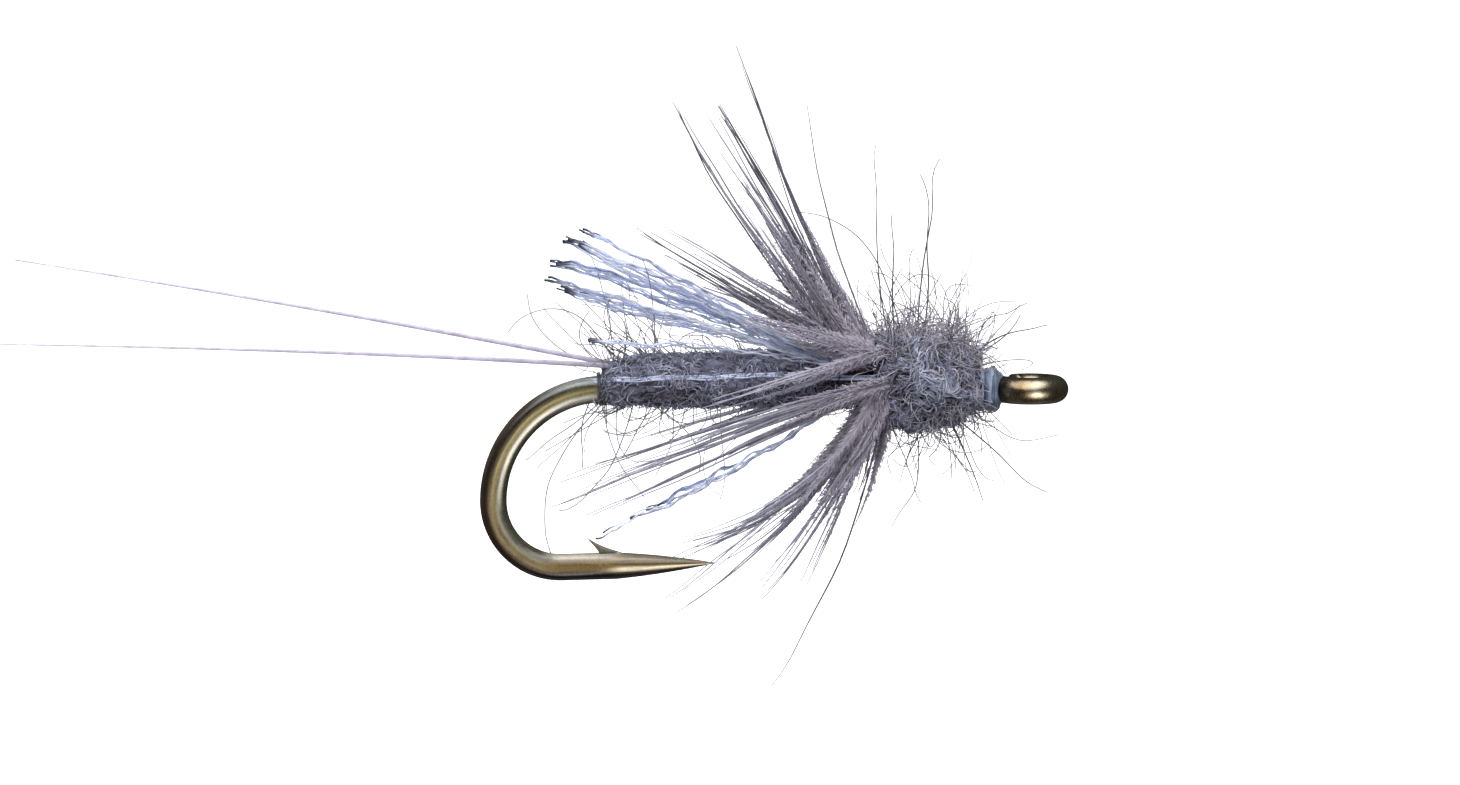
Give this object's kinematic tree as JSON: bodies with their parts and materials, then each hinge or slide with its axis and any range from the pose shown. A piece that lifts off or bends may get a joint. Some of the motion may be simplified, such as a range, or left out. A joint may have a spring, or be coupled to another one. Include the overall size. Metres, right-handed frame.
{
  "type": "dry fly",
  "caption": "Fishing dry fly: ring-eyed barbed hook with dubbed body and thorax, crinkled yarn wing, soft swept hackle and two long split tails.",
  "frame": {"origin": "centre of the hook's ring eye", "axes": "+Z along the eye's hole, away from the hook's point; +X out of the eye along the shank; the tails trail towards -X"},
  "size_m": [0.0178, 0.0054, 0.0105],
  "materials": {
    "bronzed_wire": "bronzed, semi-gloss",
    "grey_thread": "waxed thread, satin",
    "head_thread": "waxed thread, satin",
    "tail_fibre": "synthetic bristle, satin",
    "abdomen_fur": "fuzzy fur dubbing",
    "thorax_fur": "spiky fur dubbing",
    "strand": "shiny synthetic floss",
    "wing_yarn": "shiny crinkled synthetic yarn",
    "hackle_stem": "dull feather quill",
    "hackle_barb": "soft feather barb"
  },
  "bodies": {
    "root": {"abdomen_dubbing": "abdomen_fur", "hackle_barbs_back": "hackle_barb", "hackle_barbs_far": "hackle_barb", "hackle_barbs_near": "hackle_barb", "hackle_barbs_throat": "hackle_barb", "hackle_barbs_top": "hackle_barb", "hackle_quill": "hackle_stem", "hook_wire": "bronzed_wire", "side_strand_far": "strand", "side_strand_near": "strand", "tail_divider": "grey_thread", "tail_fibre_far": "tail_fibre", "tail_fibre_near": "tail_fibre", "tail_lashing": "grey_thread", "thorax_dubbing": "thorax_fur", "thread_head": "head_thread", "thread_underbody": "grey_thread", "wing_lashing": "grey_thread", "wing_yarn_far": "wing_yarn", "wing_yarn_lower": "wing_yarn", "wing_yarn_near": "wing_yarn"}
  },
  "joints": []
}
